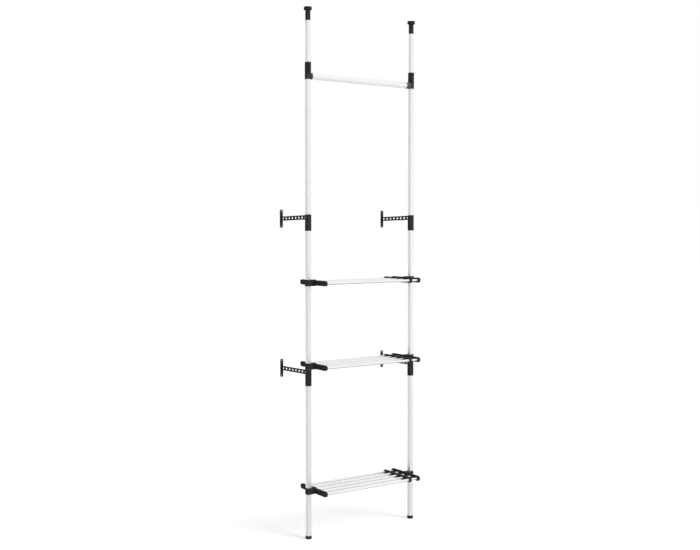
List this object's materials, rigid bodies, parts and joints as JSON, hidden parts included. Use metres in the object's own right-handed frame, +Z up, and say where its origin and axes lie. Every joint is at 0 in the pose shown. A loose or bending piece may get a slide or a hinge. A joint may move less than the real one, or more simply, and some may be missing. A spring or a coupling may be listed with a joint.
{
  "type": "telescopic closet organizer",
  "caption": "Floor-to-ceiling closet organizer with telescopic posts, an extending clothes rod, extending tube shelves that clamp to the posts, and perforated wall arms.",
  "frame": {"origin": "on the floor, in the middle of the footprint that runs from the front of the shelves to the wall", "axes": "+Z up, +X from the left post to the right post, +Y towards the wall"},
  "size_m": [0.682, 0.376, 2.6333],
  "materials": {
    "tube": "satin",
    "fitting": "matte",
    "rubber": "matte",
    "nylon": "matte",
    "screw_steel": "black oxide",
    "spring_steel": "plain"
  },
  "bodies": {
    "left_frame": {"left_foot_cap": "fitting", "left_lower_tube": "tube", "left_lower_connector": "fitting", "left_middle_tube": "tube", "left_upper_connector": "fitting", "left_upper_tube": "tube", "left_rod_bracket": "fitting", "left_fixings": "screw_steel", "left_lock_pad": "rubber", "rod_outer_tube": "tube", "rod_end_bush": "nylon"},
    "right_frame": {"right_foot_cap": "fitting", "right_lower_tube": "tube", "right_lower_connector": "fitting", "right_middle_tube": "tube", "right_upper_connector": "fitting", "right_upper_tube": "tube", "right_rod_bracket": "fitting", "right_fixings": "screw_steel", "right_lock_pad": "rubber", "rod_inner_tube": "tube"},
    "left_lever": {"left_lock_lever": "fitting"},
    "left_extension": {"left_extension_tube": "tube", "left_extension_glide": "nylon", "left_ceiling_cap": "fitting", "left_head_spring": "spring_steel"},
    "left_head": {"left_ceiling_head": "fitting", "left_ceiling_pad": "rubber"},
    "upper_left_arm": {"left_upper_wall_arm": "fitting"},
    "lower_left_arm": {"left_lower_wall_arm": "fitting"},
    "right_lever": {"right_lock_lever": "fitting"},
    "right_extension": {"right_extension_tube": "tube", "right_extension_glide": "nylon", "right_ceiling_cap": "fitting", "right_head_spring": "spring_steel"},
    "right_head": {"right_ceiling_head": "fitting", "right_ceiling_pad": "rubber"},
    "upper_right_arm": {"right_upper_wall_arm": "fitting"},
    "lower_right_arm": {"right_lower_wall_arm": "fitting"},
    "shelf_1_left": {"shelf_1_left_bracket": "fitting", "shelf_1_outer_tubes": "tube", "shelf_1_comb": "fitting", "shelf_1_left_screw": "screw_steel"},
    "shelf_1_right": {"shelf_1_right_bracket": "fitting", "shelf_1_inner_tubes": "tube", "shelf_1_right_screw": "screw_steel"},
    "shelf_2_left": {"shelf_2_left_bracket": "fitting", "shelf_2_outer_tubes": "tube", "shelf_2_comb": "fitting", "shelf_2_left_screw": "screw_steel"},
    "shelf_2_right": {"shelf_2_right_bracket": "fitting", "shelf_2_inner_tubes": "tube", "shelf_2_right_screw": "screw_steel"},
    "shelf_3_left": {"shelf_3_left_bracket": "fitting", "shelf_3_outer_tubes": "tube", "shelf_3_comb": "fitting", "shelf_3_left_screw": "screw_steel"},
    "shelf_3_right": {"shelf_3_right_bracket": "fitting", "shelf_3_inner_tubes": "tube", "shelf_3_right_screw": "screw_steel"}
  },
  "joints": [
    {"name": "width_slide", "type": "slide", "parent": "left_frame", "child": "right_frame", "axis": [1, 0, 0], "range_m": [0, 0.3]},
    {"name": "left_extension_slide", "type": "slide", "parent": "left_frame", "child": "left_extension", "axis": [0, 0, 1], "range_m": [-0.18, 0.35]},
    {"name": "left_head_plunge", "type": "slide", "parent": "left_extension", "child": "left_head", "axis": [0, 0, 1], "range_m": [-0.006, 0], "stiffness_N_per_m": 5000, "springref_m": 0.008, "deforming": ["left_head_spring"]},
    {"name": "left_lock_lever_turn", "type": "hinge", "parent": "left_frame", "child": "left_lever", "pos_m": [-0.321, -0.0845, 2.3575], "axis": [-1, 0, 0], "range_deg": [0, 90]},
    {"name": "upper_left_arm_slide", "type": "slide", "parent": "left_frame", "child": "upper_left_arm", "axis": [0, 0.9997, -0.0232], "range_m": [0, 0.01]},
    {"name": "lower_left_arm_slide", "type": "slide", "parent": "left_frame", "child": "lower_left_arm", "axis": [0, 0.9997, -0.0232], "range_m": [0, 0.01]},
    {"name": "right_extension_slide", "type": "slide", "parent": "right_frame", "child": "right_extension", "axis": [0, 0, 1], "range_m": [-0.18, 0.35]},
    {"name": "right_head_plunge", "type": "slide", "parent": "right_extension", "child": "right_head", "axis": [0, 0, 1], "range_m": [-0.006, 0], "stiffness_N_per_m": 5000, "springref_m": 0.008, "deforming": ["right_head_spring"]},
    {"name": "right_lock_lever_turn", "type": "hinge", "parent": "right_frame", "child": "right_lever", "pos_m": [0.321, -0.0845, 2.3575], "axis": [-1, 0, 0], "range_deg": [0, 90]},
    {"name": "upper_right_arm_slide", "type": "slide", "parent": "right_frame", "child": "upper_right_arm", "axis": [0, 0.9997, -0.0232], "range_m": [0, 0.01]},
    {"name": "lower_right_arm_slide", "type": "slide", "parent": "right_frame", "child": "lower_right_arm", "axis": [0, 0.9997, -0.0232], "range_m": [0, 0.01]},
    {"name": "shelf_1_height", "type": "slide", "parent": "left_frame", "child": "shelf_1_left", "axis": [0, 0, 1], "range_m": [-0.2, 0.2]},
    {"name": "shelf_1_extend", "type": "slide", "parent": "shelf_1_left", "child": "shelf_1_right", "axis": [1, 0, 0], "range_m": [0, 0.3]},
    {"name": "shelf_2_height", "type": "slide", "parent": "left_frame", "child": "shelf_2_left", "axis": [0, 0, 1], "range_m": [0, 0.15]},
    {"name": "shelf_2_extend", "type": "slide", "parent": "shelf_2_left", "child": "shelf_2_right", "axis": [1, 0, 0], "range_m": [0, 0.3]},
    {"name": "shelf_3_height", "type": "slide", "parent": "left_frame", "child": "shelf_3_left", "axis": [0, 0, 1], "range_m": [-0.18, 0.4]},
    {"name": "shelf_3_extend", "type": "slide", "parent": "shelf_3_left", "child": "shelf_3_right", "axis": [1, 0, 0], "range_m": [0, 0.3]}
  ],
  "couplings": [
    {"joint": "shelf_1_extend", "follows": "width_slide", "ratio": 1},
    {"joint": "shelf_2_extend", "follows": "width_slide", "ratio": 1},
    {"joint": "shelf_3_extend", "follows": "width_slide", "ratio": 1}
  ]
}
